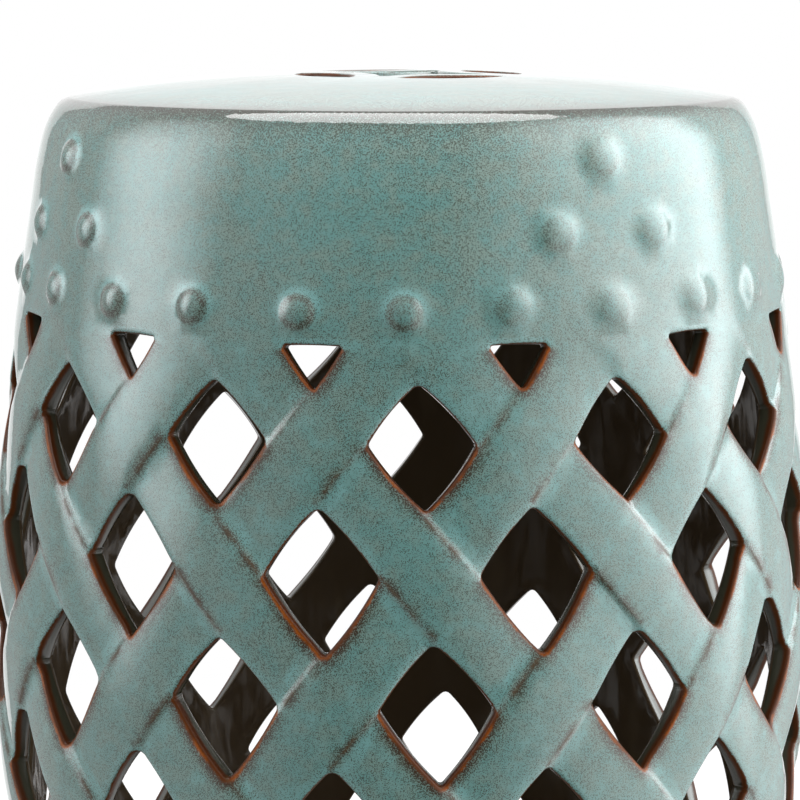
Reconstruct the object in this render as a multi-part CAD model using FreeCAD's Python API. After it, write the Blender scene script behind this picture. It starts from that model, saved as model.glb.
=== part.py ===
"""Ceramic garden stool: a pierced basket-weave barrel between two studded bands.

Millimetres, +Z up, origin on the floor under the middle of the stool, front towards -Y.
The wall is woven from two families of clay straps that are half-lapped where they cross.
Both families run from the upper band to the lower band round the barrel.
"""
import FreeCAD, Part
import math
import os

from FreeCAD import Vector

# Overall size
height = 446.0
middle = height / 2
belly_radius = 165.0
wall = 7.5

# The barrel's radius falls off from the belly by these two terms of the height over 100 mm
belly_fall = 6.703
belly_ease = 0.350

# Woven wall: columns of openings round the barrel and rows of openings up it
columns = 13
row_pitch = 48.63
pitch_shrink = 0.155
first_column = 4.63
row_skew = -0.0337
opening_half = 0.2594
strap_half = 0.5 - opening_half
relief = 1.5
lap_depth = 3.0
relief_half_row = 2.6
relief_fade_power = 16

# Bands above and below the weave
band_edge = 354.0
barrel_top = 412.0
shoulder_points = ((144.0, 418.5), (142.8, 423.0), (141.2, 427.3), (138.4, 432.4))
rim_radius = 133.0
rim_height = 437.0
seat_edge_depth = 8.0
ledge_width = 6.0
ledge_depth = 5.0

# Seat disc with its pierced coin
dome_power = 2.7
seat_thickness = 8.0
coin_turn = 25.4
coin_offset = 3.5
petal_distance = 37.0
petal_length = 44.0
petal_width = 18.0
coin_bridge = 11.0
coin_square_half = 22.0

# Studs
stud_radius = 6.0
stud_proud = 3.5
ring_height = 368.0
front_stud_angles = (-72.0, -58.9, -43.8, -29.3, -13.9, 0.5, 15.1, 30.3, 45.8, 61.0, 76.2)
back_stud_count = 13
cluster_first = 30.3
cluster_count = 4
cluster_side_spread = 8.1
cluster_side_rise = 25.0
cluster_top_rise = 51.0

# Foot
pad_radius = 7.0
pad_height = 2.0
pad_count = 4
foot_inner_radius = 116.0
foot_taper = 2.5

floor_point = Vector(0, 0, 0)
up = Vector(0, 0, 1)
sewing_gap = 0.02


def barrel_radius(z):
    """Outer radius of the plain barrel at a height."""
    u = (z - middle) / 100
    return belly_radius - belly_fall * u**2 + belly_ease * u**4


def row_height(rows):
    """Height of a place that many rows above the middle row; rows close up as the barrel narrows."""
    return middle + row_pitch * rows - pitch_shrink * rows**3


def weave_point(a, b, offset):
    """Point of the wall in weave coordinates, offset outwards from the plain barrel.

    Openings are centred on whole a and b. Right-leaning straps keep b at a half,
    left-leaning straps keep a at a half.
    """
    rows = a - b
    column = (a + b) / 2
    z = row_height(rows)
    radius = barrel_radius(z) + offset
    angle = math.radians(first_column + 360 / columns * (column + row_skew * rows))
    return Vector(radius * math.sin(angle), -radius * math.cos(angle), z)


def steps(start, end, count):
    """Evenly spaced values from start to end."""
    return [start + (end - start) * i / (count - 1) for i in range(count)]


def quadratic_poles(start, middle_point, end):
    """Control points of the quadratic curve that passes through three evenly spaced points."""
    return [start, middle_point * 2 - (start + end) * 0.5, end]


def patch(point_at, u_range, v_range):
    """Four-sided quadratic face through a function of two values; its edges depend on their own points."""
    columns_of_poles = []
    for u in steps(u_range[0], u_range[1], 3):
        points = [point_at(u, v) for v in steps(v_range[0], v_range[1], 3)]
        columns_of_poles.append(quadratic_poles(*points))
    rows_of_poles = [quadratic_poles(*row) for row in zip(*columns_of_poles)]
    surface = Part.BSplineSurface()
    surface.buildFromPolesMultsKnots(rows_of_poles, [3, 3], [3, 3], [0, 1], [0, 1], False, False, 2, 2)
    return surface.toShape()


class Strap:
    """One woven strap: s runs along it in rows, t across it, and it passes over every second crossing."""

    def __init__(self, right_leaning):
        self.right_leaning = right_leaning
        self.faces = []

    def place(self, s, t, offset):
        if self.right_leaning:
            return weave_point(0.5 + s, 0.5 + t, offset)
        return weave_point(0.5 + t, 0.5 - s, offset)

    def rows_at(self, s, t):
        return s - t if self.right_leaning else s + t

    def top(self, s, t):
        """Height of the outer face over the plain barrel: a wave that fades out towards the bands."""
        sign = 1 if self.right_leaning else -1
        fade = 1 / (1 + (self.rows_at(s, t) / relief_half_row)**relief_fade_power)
        return sign * relief * math.cos(math.pi * s) * fade

    def lap(self, s, t):
        return -lap_depth

    def inner(self, s, t):
        return -wall

    def cover(self, level, s_range):
        """Face that follows the strap at one level."""
        def point_at(s, t):
            return self.place(s, t, level(s, t))
        self.faces.append(patch(point_at, s_range, (-strap_half, strap_half)))

    def side(self, low, high, s_range, t):
        """Face down one side of the strap between two levels."""
        def point_at(s, share):
            return self.place(s, t, low(s, t) + (high(s, t) - low(s, t)) * share)
        self.faces.append(patch(point_at, s_range, (0, 1)))

    def across(self, low, high, s):
        """Face across the strap between two levels."""
        def point_at(t, share):
            return self.place(s, t, low(s, t) + (high(s, t) - low(s, t)) * share)
        self.faces.append(patch(point_at, (-strap_half, strap_half), (0, 1)))

    def full_stretch(self, s_range):
        """Stretch between two crossings, as thick as the wall."""
        self.cover(self.top, s_range)
        self.cover(self.inner, s_range)
        for t in (-strap_half, strap_half):
            self.side(self.inner, self.lap, s_range, t)
            self.side(self.lap, self.top, s_range, t)

    def crossing(self, row):
        """Half-lapped stretch: the outer part of the wall where it passes over, the inner part under."""
        over = (row % 2 == 0) == self.right_leaning
        low = self.lap if over else self.inner
        high = self.top if over else self.lap
        s_range = (row - strap_half, row + strap_half)
        self.cover(high, s_range)
        self.cover(low, s_range)
        for t in (-strap_half, strap_half):
            self.side(low, high, s_range, t)
        for s in s_range:
            if over:
                self.across(self.inner, self.lap, s)
            else:
                self.across(self.lap, self.top, s)

    def solid(self, last_row, end_row):
        """The strap from its lower to its upper end, sewn from its faces."""
        for row in range(-last_row, last_row + 1):
            self.crossing(row)
            if row < last_row:
                self.full_stretch((row + strap_half, row + 1 - strap_half))
        for sign in (-1, 1):
            start = sign * (last_row + strap_half)
            end = sign * end_row
            self.full_stretch((start, end))
            self.across(self.inner, self.lap, end)
            self.across(self.lap, self.top, end)
        skin = Part.makeCompound(self.faces)
        skin.sewShape(sewing_gap)
        return solid_of(skin.Shells[0])


def solid_of(shell):
    """Solid inside a closed shell, with its faces turned outwards."""
    solid = Part.makeSolid(shell)
    if solid.Volume < 0:
        solid.reverse()
    return solid


def make_straps():
    """All straps of the weave, by name."""
    between_bands = Part.makeCylinder(belly_radius + 20, 2 * band_edge - height,
                                      Vector(0, 0, height - band_edge), up)
    last_row = 2
    under_end = last_row + 1 - strap_half
    over_end = last_row + 1 + 0.1
    masters = {
        "right_leaning_strap": Strap(True).solid(last_row, under_end),
        "left_leaning_strap": Strap(False).solid(last_row, over_end),
    }
    straps = {}
    for name, master in masters.items():
        trimmed = solid_of(master.common(between_bands).Solids[0].Shells[0])
        for number in range(columns):
            strap = trimmed.copy()
            strap.rotate(floor_point, up, number * 360 / columns)
            straps[f"{name}_{number + 1:02d}"] = strap
    return straps


def flat_point(radius, z):
    return Vector(radius, 0, z)


def spline(points, start_direction=None, end_direction=None):
    """Smooth curve through points, with end directions where they are given."""
    curve = Part.BSplineCurve()
    if start_direction is None:
        curve.interpolate(points)
    else:
        curve.interpolate(Points=points, InitialTangent=start_direction, FinalTangent=end_direction)
    return curve.toShape()


def lines(*points):
    return [Part.makeLine(points[i], points[i + 1]) for i in range(len(points) - 1)]


def turned(edges):
    """Solid of revolution of a closed outline round the upright axis."""
    face = Part.Face(Part.Wire(edges))
    return face.revolve(floor_point, up, 360)


def shoulder_curve():
    """Outer outline of the upper band, from the weave to the seat's rim."""
    rise = barrel_top - band_edge
    wall_points = [flat_point(barrel_radius(band_edge + rise * i / 3), band_edge + rise * i / 3)
                   for i in range(4)]
    corner_points = [flat_point(r, z) for r, z in shoulder_points]
    return spline(wall_points + corner_points + [flat_point(rim_radius, rim_height)])


def make_band():
    """Upper band: wall, rounded shoulder and the inner ledge that the seat disc is luted onto."""
    edge_radius = barrel_radius(band_edge)
    ledge = rim_height - seat_edge_depth
    outer = shoulder_curve()
    outer_ends = [vertex.Point for vertex in outer.Vertexes]
    inner_points = [flat_point(barrel_radius(z) - wall, z) for z in steps(band_edge, barrel_top, 4)]
    inner = spline(inner_points)
    edges = [outer]
    edges += lines(outer_ends[1],
                   flat_point(rim_radius, ledge),
                   flat_point(rim_radius - ledge_width, ledge),
                   flat_point(rim_radius - ledge_width, ledge - ledge_depth),
                   inner_points[-1])
    edges.append(inner)
    edges += lines(inner_points[0], flat_point(edge_radius, band_edge))
    return turned(edges)


def dome_height(radius):
    """Height of the seat's upper face."""
    return height - (height - rim_height) * (radius / rim_radius)**dome_power


def dome_curve(drop):
    points = [flat_point(r, dome_height(r) - drop) for r in steps(0, rim_radius, 7)]
    slope = -dome_power * (height - rim_height) / rim_radius
    return spline(points, Vector(1, 0, 0), Vector(1, 0, slope))


def prism(edges):
    """Upright cutter through the seat disc over a closed outline."""
    face = Part.Face(Part.Wire(edges))
    face.translate(Vector(0, 0, height - 40))
    return face.extrude(Vector(0, 0, 60))


def petal():
    """Lens-shaped opening, outside the coin's middle on the +X side."""
    low = Vector(petal_distance, -petal_length / 2, 0)
    high = Vector(petal_distance, petal_length / 2, 0)
    out = Vector(petal_distance + petal_width / 2, 0, 0)
    inside = Vector(petal_distance - petal_width / 2, 0, 0)
    return prism([Part.Arc(low, out, high).toShape(), Part.Arc(high, inside, low).toShape()])


def coin_square():
    """Square opening with hollow sides that run along the petals."""
    arc_radius = (petal_length**2 / 4 + petal_width**2 / 4) / petal_width
    arc_centre = petal_distance + arc_radius - petal_width / 2
    side = 2 * coin_square_half
    square = Part.makeBox(side, side, 60, Vector(-coin_square_half, -coin_square_half, height - 40))
    for number in range(4):
        round_side = Part.makeCylinder(arc_radius + coin_bridge, 60, Vector(arc_centre, 0, height - 40))
        round_side.rotate(floor_point, up, 90 * number)
        square = square.cut(round_side)
    return square


def make_seat():
    """Domed seat disc with the pierced coin that is its finger hold."""
    top = dome_curve(0)
    under = dome_curve(seat_thickness)
    edges = [top]
    edges += lines(flat_point(rim_radius, rim_height),
                   flat_point(rim_radius, rim_height - seat_thickness))
    edges.append(under)
    edges += lines(flat_point(0, height - seat_thickness), flat_point(0, height))
    disc = turned(edges)
    cutters = [coin_square()]
    for number in range(4):
        opening = petal()
        opening.rotate(floor_point, up, 90 * number)
        cutters.append(opening)
    for cutter in cutters:
        cutter.rotate(floor_point, up, coin_turn)
        cutter.translate(Vector(coin_offset, 0, 0))
        disc = disc.cut(cutter)
    return solid_of(disc.Solids[0].Shells[0])


def make_foot():
    """Turned foot ring, luted under the lower band and left bare where it stands."""
    ledge = height - rim_height + seat_edge_depth
    edges = lines(flat_point(foot_inner_radius, ledge),
                  flat_point(rim_radius, ledge),
                  flat_point(rim_radius, height - rim_height),
                  flat_point(rim_radius - foot_taper, pad_height),
                  flat_point(foot_inner_radius + foot_taper, pad_height),
                  flat_point(foot_inner_radius, ledge))
    return turned(edges)


def make_pads():
    """Round pads stuck under the foot ring."""
    distance = (rim_radius + foot_inner_radius) / 2
    pads = []
    for number in range(pad_count):
        angle = math.radians(45 + 360 / pad_count * number)
        centre = Vector(distance * math.cos(angle), distance * math.sin(angle), 0)
        pads.append(Part.makeCylinder(pad_radius, pad_height, centre, up))
    return Part.makeCompound(pads)


def stud(angle_degrees, z, core):
    """Pressed-on stud: a low dome whose back follows the wall."""
    ball_radius = (stud_radius**2 + stud_proud**2) / (2 * stud_proud)
    distance = barrel_radius(z) + stud_proud - ball_radius
    angle = math.radians(angle_degrees)
    centre = Vector(distance * math.sin(angle), -distance * math.cos(angle), z)
    ball = Part.makeSphere(ball_radius, centre)
    return ball.cut(core)


def make_studs():
    """Studs of the upper band: the ring over the weave and the clusters above it."""
    outer = shoulder_curve()
    edge_radius = barrel_radius(band_edge)
    floor_of_core = band_edge - 20
    edges = [outer]
    edges += lines(flat_point(rim_radius, rim_height),
                   flat_point(0, rim_height),
                   flat_point(0, floor_of_core),
                   flat_point(edge_radius, floor_of_core),
                   flat_point(edge_radius, band_edge))
    core = turned(edges)
    back_start = front_stud_angles[-1]
    back_gap = (360 + front_stud_angles[0] - back_start) / (back_stud_count + 1)
    angles = list(front_stud_angles)
    angles += [back_start + back_gap * (i + 1) for i in range(back_stud_count)]
    ring = [stud(angle, ring_height, core) for angle in angles]
    cluster = []
    for number in range(cluster_count):
        centre = cluster_first + 360 / cluster_count * number
        cluster.append(stud(centre - cluster_side_spread, ring_height + cluster_side_rise, core))
        cluster.append(stud(centre + cluster_side_spread, ring_height + cluster_side_rise, core))
        cluster.append(stud(centre, ring_height + cluster_top_rise, core))
    return Part.makeCompound(ring), Part.makeCompound(cluster)


def mirrored(shape):
    """The same piece at the other end of the barrel."""
    return shape.mirror(Vector(0, 0, middle), up)


def make_nodes():
    band = make_band()
    ring, clusters = make_studs()
    nodes = {
        "seat_disc": make_seat(),
        "upper_band": band,
        "lower_band": mirrored(band),
        "foot_ring": make_foot(),
        "floor_pads": make_pads(),
        "upper_stud_ring": ring,
        "upper_stud_clusters": clusters,
        "lower_stud_ring": mirrored(ring),
        "lower_stud_clusters": mirrored(clusters),
    }
    nodes.update(make_straps())
    return nodes


os.makedirs("parts", exist_ok=True)
for node_name, shape in make_nodes().items():
    shape.exportStep(f"parts/{node_name}.step")
    volume = sum(solid.Volume for solid in shape.Solids)
    print(f"{node_name}: {len(shape.Solids)} solids, {volume / 1000:.1f} cm3, valid {shape.isValid()}")
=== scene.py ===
import math

import bpy
import numpy as np
from mathutils.geometry import delaunay_2d_cdt
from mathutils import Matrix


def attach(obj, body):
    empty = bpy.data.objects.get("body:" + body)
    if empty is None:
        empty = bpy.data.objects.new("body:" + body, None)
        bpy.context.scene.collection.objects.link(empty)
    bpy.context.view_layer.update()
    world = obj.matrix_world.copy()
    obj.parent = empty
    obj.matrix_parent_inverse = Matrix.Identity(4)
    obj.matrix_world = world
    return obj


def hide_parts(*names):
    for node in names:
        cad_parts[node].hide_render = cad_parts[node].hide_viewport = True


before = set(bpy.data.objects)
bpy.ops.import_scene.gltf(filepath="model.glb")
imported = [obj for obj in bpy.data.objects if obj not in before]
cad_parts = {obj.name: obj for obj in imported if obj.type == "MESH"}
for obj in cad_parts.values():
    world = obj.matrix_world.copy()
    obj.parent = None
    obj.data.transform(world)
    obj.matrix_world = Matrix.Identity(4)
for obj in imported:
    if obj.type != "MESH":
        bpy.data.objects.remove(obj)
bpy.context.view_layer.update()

# Woven wall
# Thirteen flat clay straps lean each way and pass over and under each other round the barrel.
# The diamonds between them are cut right through, with soft lips where the glaze has rounded them.
millimetre = 0.001
stool_height = 446.0
middle = stool_height / 2
belly_radius = 165.0
belly_fall = 6.703
belly_ease = 0.350
wall_thickness = 7.5
wobble = 0.22
far_from_edge = 30.0
shuffle = np.random.default_rng(7)

# Openings are placed by columns round the barrel and rows above its middle
columns = 13
column_width = math.tau * belly_radius / columns
row_pitch = 48.63
row_squeeze = 0.155
row_rise = 2.0
row_rise_reach = 2.9
first_column = math.radians(4.63)
row_skew = -0.0337

# Each diamond has its row, its half width in columns, and its reach up and down in rows
openings = ((2, 0.262, 0.497, 0.512), (1, 0.273, 0.533, 0.600), (0, 0.270, 0.522, 0.586),
            (-1, 0.273, 0.560, 0.575), (-2, 0.262, 0.505, 0.505))

# The triangle under a band has its half width, the row of its flat side and the row of its tip
top_opening = (0.150, 2.784, 2.42)
diamond_outline = {"radii": (2.4, 3.0, 2.4, 1.5), "bulge": 0.9, "side_count": 8}
triangle_outline = {"radii": (1.0, 1.0, 1.0), "bulge": 0.3, "side_count": 5}

# The straps' relief fades out towards the bands; a join row ends the weave's mesh
strap_half = 0.233
strap_unit = 61.5
relief = 1.5
relief_half_row = 2.45
relief_fade_power = 14
crown = 0.6
ridge_softness = 3.4
valley_place = 3.2
valley_width = 2.4
crest_place = -1.0
crest_width = 1.5
join_row = 2.84

# Lips round the openings
lip_radius = 1.1
lip_reach = 2.2
lip_steps = (0.0, 0.14, 0.4, 0.75, 1.3, lip_reach)
edge_roll = 0.4
edge_roll_reach = 4.5
inner_lip_radius = 1.5
inner_lip_steps = (1.5, 0.45, 0.0)
cut_depths = (4.4, 2.6)
flat_inside_depth = 5.5

# Points of the mesh
point_shuffle = 0.05
step_gap = 1.9
seam_overlap = 45.0


def row_height(row):
    """Height of a place that many rows above the middle row."""
    rise = row_rise * np.maximum(0, 1 - (np.asarray(row) / row_rise_reach)**4)
    return middle + row_pitch * row - row_squeeze * row**3 + rise


def wall_radius(z):
    """Radius of the plain barrel at a height."""
    u = (z - middle) / 100
    return belly_radius - belly_fall * u**2 + belly_ease * u**4


def wall_lean(z):
    """How fast the radius grows with height."""
    u = (z - middle) / 100
    return (-2 * belly_fall * u + 4 * belly_ease * u**3) / 100


def around(radius, angle, z):
    """Points about the barrel's axis. Angle 0 is the front, and it grows to the right."""
    return np.column_stack([radius * np.sin(angle), -radius * np.cos(angle), z + 0 * angle])


def soft_step(x):
    """0 below 0, 1 above 1, smooth between."""
    x = np.clip(x, 0, 1)
    return x * x * (3 - 2 * x)


def unevenness(angle, z):
    """Slow swelling of a hand-built wall."""
    return wobble * (np.sin(3 * angle + z / 37) + 0.6 * np.sin(5 * angle - z / 23 + 1)
                     + 0.4 * np.sin(13 * angle + z / 19 + 2))


def weave(column, row):
    """Height of the woven relief, and how much a place is a valley or a crest beside a step."""
    a, b = column + row / 2, column - row / 2
    a_mid, b_mid = np.floor(a) + 0.5, np.floor(b) + 0.5
    across_right, across_left = np.abs(b - b_mid), np.abs(a - a_mid)
    fade = 1 / (1 + (row / relief_half_row)**relief_fade_power)
    pressed = relief * (1 + 0.3 * np.sin(2.3 * column + 1.1 * row) * np.cos(1.7 * row - 0.9 * column))
    right_height = pressed * np.cos(math.pi * (a - b_mid)) - crown * (across_right / strap_half)**2
    left_height = -pressed * np.cos(math.pi * (a_mid - b)) - crown * (across_left / strap_half)**2
    softness = ridge_softness / strap_unit

    def share(across):
        return soft_step((strap_half - across) / (2 * softness) + 0.5)

    right_over = (np.round(a_mid - b_mid).astype(int) % 2) == 0
    over = np.where(right_over, right_height, left_height)
    under = np.where(right_over, left_height, right_height)
    over_across = np.where(right_over, across_right, across_left)
    under_across = np.where(right_over, across_left, across_right)
    over_share, under_share = share(over_across) + 1e-4, share(under_across)
    height = over_share * over + (1 - over_share) * under_share * under
    height = height / (over_share + (1 - over_share) * under_share)
    outside = (over_across - strap_half) * strap_unit
    crossing = soft_step((strap_half - under_across) * strap_unit / 2 + 1)
    valley = crossing * np.exp(-((outside - valley_place) / valley_width)**2)
    crest = crossing * np.exp(-((outside - crest_place) / crest_width)**2)
    return height * fade, valley * fade, crest * fade


class Skin:
    """The glaze over the whole stool as one surface, cut into pieces that keep its smooth shading."""

    def __init__(self):
        self.places = []
        self.marks = []
        self.count = 0
        self.faces = {}

    def add(self, places, **marks):
        """Adds points in millimetres with their marks and returns their numbers."""
        count = len(places)
        self.places.append(np.asarray(places, float))
        table = np.zeros((count, len(mark_names)))
        table[:, 0] = far_from_edge
        for name, values in marks.items():
            table[:, mark_names.index(name)] = values
        self.marks.append(table)
        self.count += count
        return np.arange(self.count - count, self.count)

    def cover(self, piece, faces, turned=False):
        """Adds triangles or quads of one piece."""
        faces = np.asarray(faces)
        self.faces.setdefault(piece, []).append(faces[:, ::-1] if turned else faces)

    def bridge(self, piece, rings, turned=False):
        """Quads between closed rings of equal length."""
        for low, high in zip(rings[:-1], rings[1:]):
            self.cover(piece, np.column_stack([low, high, np.roll(high, -1), np.roll(low, -1)]), turned)

    def normals(self):
        """Smooth normal of every point over the whole surface."""
        places = np.concatenate(self.places)
        total = np.zeros_like(places)
        for groups in self.faces.values():
            for faces in groups:
                first = places[faces[:, 0]]
                for i in range(1, faces.shape[1] - 1):
                    area = np.cross(places[faces[:, i]] - first, places[faces[:, i + 1]] - first)
                    for corner in (0, i, i + 1):
                        np.add.at(total, faces[:, corner], area)
        length = np.linalg.norm(total, axis=1, keepdims=True)
        return places, total / np.maximum(length, 1e-12)

    def make(self):
        """One object for each piece, in metres."""
        places, normals = self.normals()
        marks = np.concatenate(self.marks)
        made = {}
        for piece, groups in self.faces.items():
            used = np.unique(np.concatenate([faces.ravel() for faces in groups]))
            number = np.zeros(len(places), int)
            number[used] = np.arange(len(used))
            mesh = bpy.data.meshes.new(piece)
            polygons = [face for faces in groups for face in number[faces].tolist()]
            mesh.from_pydata((places[used] * millimetre).tolist(), [], polygons)
            mesh.shade_smooth()
            for column, name in enumerate(mark_names):
                layer = mesh.attributes.new(name, "FLOAT", "POINT")
                layer.data.foreach_set("value", marks[used, column].astype(np.float32))
            mesh.normals_split_custom_set_from_vertices(normals[used].tolist())
            made[piece] = placed(piece, mesh)
        return made


def placed(name, data):
    """A new object in the scene."""
    obj = bpy.data.objects.new(name, data)
    bpy.context.collection.objects.link(obj)
    return obj


mark_names = ["edge", "low", "depth", "valley", "crest", "stud", "stud_face", "rim"]
skin = Skin()


def wall_places(column, row, depth=0.0):
    """Points of the wall, a depth under its outer face, in millimetres."""
    angle = first_column + math.tau / columns * (column + row_skew * row)
    z = row_height(row)
    lean = wall_lean(z)
    outward = 1 / np.sqrt(1 + lean**2)
    woven = np.where(np.asarray(depth) > flat_inside_depth, 0, weave(column, row)[0])
    height = unevenness(angle, z) + woven - depth
    return around(wall_radius(z) + height * outward, angle, z - height * outward * lean)


def rounded_loop(corners, radii, bulge, side_count, corner_count=5):
    """Points of a polygon with rounded corners and bowed sides, and their outward directions."""
    corners = np.array(corners, float)
    count = len(corners)
    starts, ends, arcs = [], [], []
    for i in range(count):
        before = corners[i - 1] - corners[i]
        after = corners[(i + 1) % count] - corners[i]
        before, after = before / np.linalg.norm(before), after / np.linalg.norm(after)
        half_angle = math.acos(np.clip(before @ after, -1, 1)) / 2
        reach = radii[i] / math.tan(half_angle)
        middle_line = (before + after) / np.linalg.norm(before + after)
        centre = corners[i] + middle_line * radii[i] / math.sin(half_angle)
        start, end = corners[i] + before * reach, corners[i] + after * reach
        first = math.atan2(*(start - centre)[::-1])
        sweep = (math.atan2(*(end - centre)[::-1]) - first + math.pi) % math.tau - math.pi
        turn = first + sweep * np.linspace(0, 1, corner_count)
        arcs.append(centre + radii[i] * np.column_stack([np.cos(turn), np.sin(turn)]))
        starts.append(start)
        ends.append(end)
    points = []
    for i in range(count):
        points.append(arcs[i])
        start, end = ends[i], starts[(i + 1) % count]
        share = np.linspace(0, 1, side_count + 2)[1:-1, None]
        along = (end - start) / np.linalg.norm(end - start)
        out = np.array([along[1], -along[0]])
        points.append(start + (end - start) * share + out * bulge * 4 * share * (1 - share))
    return with_directions(np.concatenate(points))


def with_directions(points):
    """A closed loop of points that runs anticlockwise, and the outward direction at each."""
    along = np.roll(points, -1, 0) - np.roll(points, 1, 0)
    out = np.column_stack([along[:, 1], -along[:, 0]])
    return points, out / np.linalg.norm(out, axis=1, keepdims=True)


def densified(points, out, count=6):
    """The same loop with points between its points."""
    share = np.arange(count)[None, :, None] / count

    def between(values):
        return (values[:, None] * (1 - share) + np.roll(values, -1, 0)[:, None] * share).reshape(-1, 2)

    return between(points), between(out)


def inside(points, loop):
    """Which points lie inside a closed loop."""
    x, y = points[:, :1], points[:, 1:]
    ends = np.roll(loop, -1, 0)
    crosses = (loop[:, 1] > y) != (ends[:, 1] > y)
    rise = np.where(ends[:, 1] == loop[:, 1], 1e-12, ends[:, 1] - loop[:, 1])
    at = loop[:, 0] + (y - loop[:, 1]) * (ends[:, 0] - loop[:, 0]) / rise
    return (np.count_nonzero(crosses & (x < at), axis=1) % 2) == 1


def nearest(points, targets):
    """Distance from each point to the nearest target, and which it is; in parts, to save memory."""
    number = np.zeros(len(points), int)
    distance = np.zeros(len(points))
    for start in range(0, len(points), 2000):
        part = points[start:start + 2000]
        gaps = np.linalg.norm(part[:, None] - targets[None], axis=2)
        number[start:start + 2000] = gaps.argmin(1)
        distance[start:start + 2000] = gaps.min(1)
    return distance, number


def grid_points(low, high, spacing):
    """Staggered grid of points over a rectangle, slightly shuffled so that no four lie on a circle."""
    rows = np.arange(low[1] + spacing / 2, high[1] - spacing / 3, spacing * 0.87)
    x = np.arange(low[0], high[0] - spacing / 2, spacing)
    shifts = [spacing / 2 * (i % 2) for i in range(len(rows))]
    grid = np.concatenate([np.column_stack([x + shift, 0 * x + y]) for shift, y in zip(shifts, rows)])
    return grid + shuffle.uniform(-point_shuffle, point_shuffle, grid.shape)


def thinned(points, others, gap):
    """The points that keep a gap from others."""
    return points[nearest(points, others)[0] > gap]


def repeated(points, period):
    """The same points with their copies a period to each side."""
    return np.concatenate([points + [period * turn, 0] for turn in (-1, 0, 1)])


def outside_all(points, loops, period=0.0):
    """Which points lie outside closed loops and their copies a period to each side."""
    keep = np.ones(len(points), bool)
    for loop in loops:
        for turn in (-1, 0, 1) if period else (0,):
            keep &= ~inside(points, loop + [period * turn, 0])
    return keep


def delaunay(points):
    """Triangles between flat points."""
    return np.array(delaunay_2d_cdt([tuple(p) for p in points], [], [], 0, 1e-7)[2])


def strip_triangles(points, loops, period, copies=1):
    """Triangles of a strip that repeats along X, without those inside the loops.

    points are one period's. A triangle's corners are numbered over all the copies.
    """
    count = len(points)
    low = points[:, 0].min()
    everything = repeated(points, period)
    near = np.abs(everything[:, 0] - (low + period / 2)) < period / 2 + min(period, seam_overlap)
    numbers = np.flatnonzero(near)
    triangles = numbers[delaunay(everything[near])]
    centres = everything[triangles].mean(1)
    keep = (centres[:, 0] >= low) & (centres[:, 0] < low + period)
    triangles, centres = triangles[keep], centres[keep]
    triangles = triangles[outside_all(centres, loops, period)]
    corners, turns = triangles % count, triangles // count - 1
    return np.concatenate([corners + count * ((turns + copy) % copies) for copy in range(copies)])


def lip_drop(gap, radius):
    """How far a rounded lip has fallen a gap away from its edge."""
    return radius - np.sqrt(np.maximum(radius**2 - np.maximum(radius - gap, 0)**2, 0))


def edge_drop(gap):
    """How far the outer face has fallen beside an opening: a tight lip and a wide, slight roll."""
    return lip_drop(gap, lip_radius) + edge_roll * np.maximum(0, 1 - gap / edge_roll_reach)**2


def in_plane(column, row):
    """Weave coordinates as flat millimetres."""
    return np.column_stack([np.asarray(column) * column_width, np.asarray(row) * row_pitch])


def opening_loops():
    """Loops of one column's openings: whole diamonds, and triangles under the bands."""
    loops = []
    for row, half, top, bottom in openings:
        middle_column = 0.0 if row % 2 == 0 else -0.5
        loops.append([(middle_column + half, row), (middle_column, row + top),
                      (middle_column - half, row), (middle_column, row - bottom)])
    half, edge_row, tip = top_opening
    loops.append([(half - 0.5, edge_row), (-half - 0.5, edge_row), (-0.5, tip)])
    loops.append([(half - 0.5, -edge_row), (-0.5, -tip), (-half - 0.5, -edge_row)])
    outlines = {3: triangle_outline, 4: diamond_outline}
    return [rounded_loop(in_plane(*zip(*loop)), **outlines[len(loop)]) for loop in loops]


def step_points():
    """Rows of points along the steps beside each over strap."""
    points = []
    along = np.linspace(-strap_half, strap_half, 12)
    for row in range(-2, 3):
        a_mid = 0.5 + math.floor((row + 1) / 2)
        b_mid = a_mid - row
        for side in (-1, 1):
            for offset in (-1.5, -0.75, 0.0, 0.75, 1.5):
                across = side * strap_half + offset / strap_unit
                a, b = (along, across) if row % 2 == 0 else (across, along)
                a, b = a_mid + a + 0 * along, b_mid + b + 0 * along
                points.append(in_plane((a + b) / 2, a - b))
    points = np.concatenate(points)
    points[:, 0] = (points[:, 0] / column_width + 0.5) % 1 * column_width - column_width / 2
    return points + shuffle.uniform(-point_shuffle, point_shuffle, points.shape)


def add_wall(flat, column, gap, low, depth):
    """Adds flat points to the skin as one column of the wall, and returns their numbers."""
    x, row = flat[:, 0] / column_width + column, flat[:, 1] / row_pitch
    places = wall_places(x, row, depth)
    _, valley, crest = weave(x, row)
    return skin.add(places, edge=gap, low=low, depth=depth, valley=valley, crest=crest)


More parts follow.
